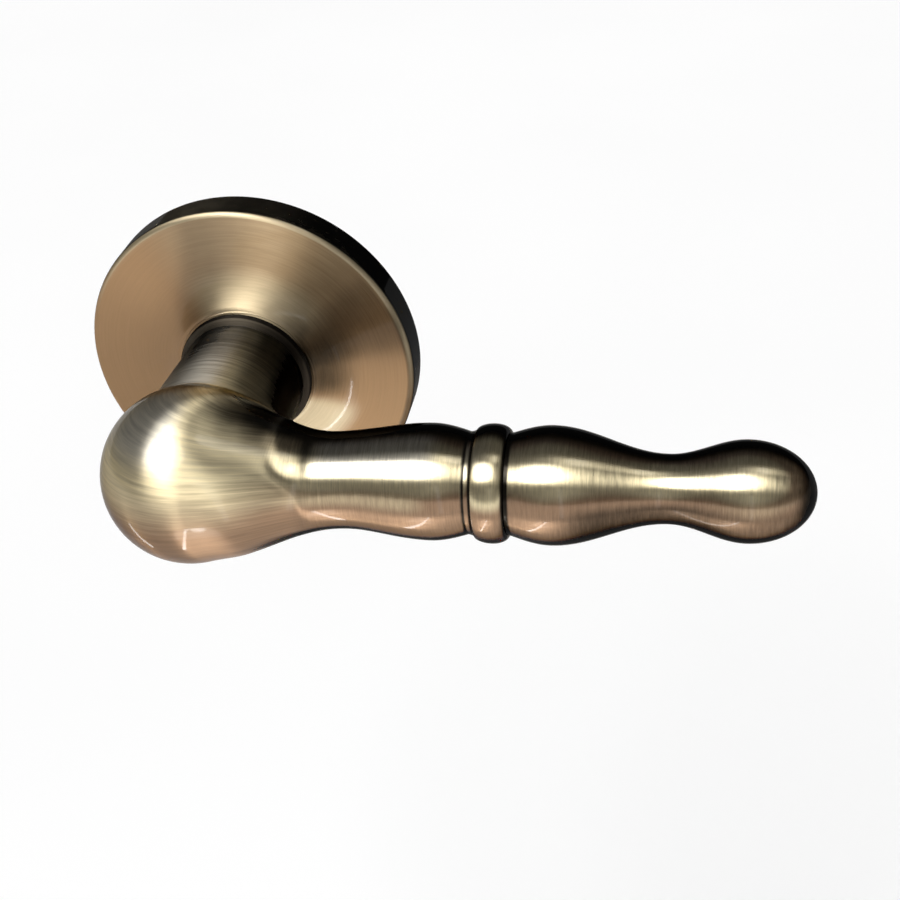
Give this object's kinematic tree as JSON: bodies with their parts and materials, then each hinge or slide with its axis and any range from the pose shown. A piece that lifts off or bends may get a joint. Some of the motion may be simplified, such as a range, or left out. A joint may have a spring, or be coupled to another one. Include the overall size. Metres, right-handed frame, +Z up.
{
  "type": "door lever handle",
  "caption": "Door lever handle on a round rose: a turned grip on a ball elbow, returned to level by a sprung cassette that turns a square spindle.",
  "frame": {"origin": "on the spindle's axis, in the door's face, where the mounting plate's back bears", "axes": "+Y along the spindle into the door, so the user stands at -Y; +X along the grip at rest; +Z up"},
  "size_m": [0.1387, 0.0897, 0.065],
  "materials": {
    "lever_brass": "antique brass, finely brushed around the grip, under clear gloss lacquer",
    "rose_brass": "antique brass with a copper tone, brushed in circles, under clear gloss lacquer",
    "collar_bronze": "dark antiqued brass, lacquered",
    "cast_zinc": "die-cast zinc, tumbled",
    "zinc_plated_steel": "bright zinc plate",
    "plain_steel": "turned or pressed steel, lightly oiled",
    "spring_steel": "hardened spring steel",
    "black_steel": "black oxide",
    "yellow_zinc_steel": "yellow passivated zinc",
    "nylon": "moulded natural nylon"
  },
  "bodies": {
    "rose": {"rose_cover": "rose_brass", "mounting_plate": "cast_zinc", "cover_snap_ring": "spring_steel", "collar_ring": "collar_bronze", "neck_bush": "nylon", "spring_cover": "zinc_plated_steel", "thrust_washer": "plain_steel", "return_spring_right": "spring_steel", "return_spring_left": "spring_steel", "case_screw_1": "yellow_zinc_steel", "case_screw_2": "yellow_zinc_steel", "case_screw_3": "yellow_zinc_steel", "case_screw_4": "yellow_zinc_steel", "bolt_post_1": "plain_steel", "bolt_post_2": "plain_steel", "wood_screw_1": "yellow_zinc_steel", "wood_screw_2": "yellow_zinc_steel"},
    "lever": {"lever": "lever_brass", "spindle": "zinc_plated_steel", "grub_screw": "black_steel", "spring_driver": "plain_steel", "wave_washer": "spring_steel", "retaining_clip": "spring_steel"}
  },
  "joints": [
    {"name": "lever_turn", "type": "hinge", "parent": "rose", "child": "lever", "pos_m": [0, 0, 0], "axis": [0, 1, 0], "range_deg": [-45, 45], "stiffness_Nm_per_rad": 1.5, "springref_deg": -3.9, "deforming": ["return_spring_right", "return_spring_left"]}
  ]
}
